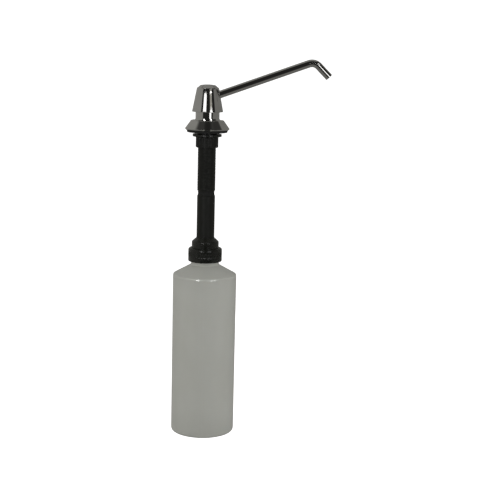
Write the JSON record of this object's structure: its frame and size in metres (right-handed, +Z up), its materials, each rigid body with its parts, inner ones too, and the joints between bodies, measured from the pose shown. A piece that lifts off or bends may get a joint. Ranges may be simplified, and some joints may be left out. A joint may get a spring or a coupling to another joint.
{
  "type": "deck-mounted soap dispenser",
  "caption": "Counter-mounted push-down liquid soap dispenser with a long swivelling spout, a threaded shank with a clamp nut, and a screw-on translucent bottle below.",
  "frame": {"origin": "on the shank's axis, in the plane of the deck's top, which is the underside of the deck gasket", "axes": "+Z up along the shank and the plunger's travel, +X along the spout's reach at rest, +Y away from the viewer who sees the spout point to the right"},
  "size_m": [0.1937, 0.0808, 0.4791],
  "materials": {
    "chrome": "polished plating",
    "black_plastic": "semi-matt moulded",
    "white_plastic": "moulded, natural white",
    "rubber": "matt",
    "steel": "turned or drawn stainless",
    "clear_plastic": "translucent, blow moulded"
  },
  "bodies": {
    "body": {"escutcheon": "chrome", "deck_gasket": "rubber", "collar_sleeve": "chrome", "guide_bush": "white_plastic", "stem_wiper": "rubber", "shank": "black_plastic", "pump_cylinder": "white_plastic", "cylinder_gasket": "rubber", "ball_cage": "white_plastic", "return_spring": "steel", "dip_tube": "white_plastic", "neck_seal": "rubber", "extension_tube": "black_plastic", "bottle_adapter": "black_plastic", "bottle_gasket": "rubber"},
    "plunger": {"stem": "steel", "stem_o_ring": "rubber", "swivel_clip": "steel", "piston": "white_plastic", "piston_seal": "rubber"},
    "head": {"plunger_head": "chrome", "head_insert": "black_plastic", "spout": "chrome", "spout_o_ring": "rubber", "head_set_screw": "steel"},
    "outlet_valve": {"outlet_ball": "steel"},
    "inlet_valve": {"inlet_ball": "steel"},
    "washer": {"clamp_washer": "black_plastic"},
    "nut": {"lock_nut": "black_plastic"},
    "screw_collar": {"bottle_collar": "black_plastic"},
    "bottle": {"bottle": "clear_plastic"}
  },
  "joints": [
    {"name": "plunger_press", "type": "slide", "parent": "body", "child": "plunger", "axis": [0, 0, -1], "range_m": [0, 0.0095], "stiffness_N_per_m": 700, "springref_m": -0.012, "deforming": ["return_spring"]},
    {"name": "spout_swivel", "type": "hinge", "parent": "plunger", "child": "head", "pos_m": [0, 0, 0.0331], "axis": [0, 0, 1], "continuous": true},
    {"name": "outlet_ball_lift", "type": "slide", "parent": "plunger", "child": "outlet_valve", "axis": [0, 0, 1], "range_m": [0, 0.0017]},
    {"name": "inlet_ball_lift", "type": "slide", "parent": "body", "child": "inlet_valve", "axis": [0, 0, 1], "range_m": [0, 0.0022]},
    {"name": "clamp_slide", "type": "slide", "parent": "body", "child": "washer", "axis": [0, 0, -1], "range_m": [0, 0.03]},
    {"name": "nut_turn", "type": "hinge", "parent": "washer", "child": "nut", "pos_m": [0, 0, -0.01], "axis": [0, 0, 1], "range_deg": [-10, 5500]},
    {"name": "collar_turn", "type": "hinge", "parent": "body", "child": "screw_collar", "pos_m": [0, 0, -0.155], "axis": [0, 0, 1], "continuous": true},
    {"name": "bottle_removal", "type": "slide", "parent": "body", "child": "bottle", "axis": [0, 0, -1], "range_m": [0, 0.235]}
  ],
  "couplings": [
    {"joint": "nut_turn", "follows": "clamp_slide", "rad_per_m": 3141.6}
  ]
}
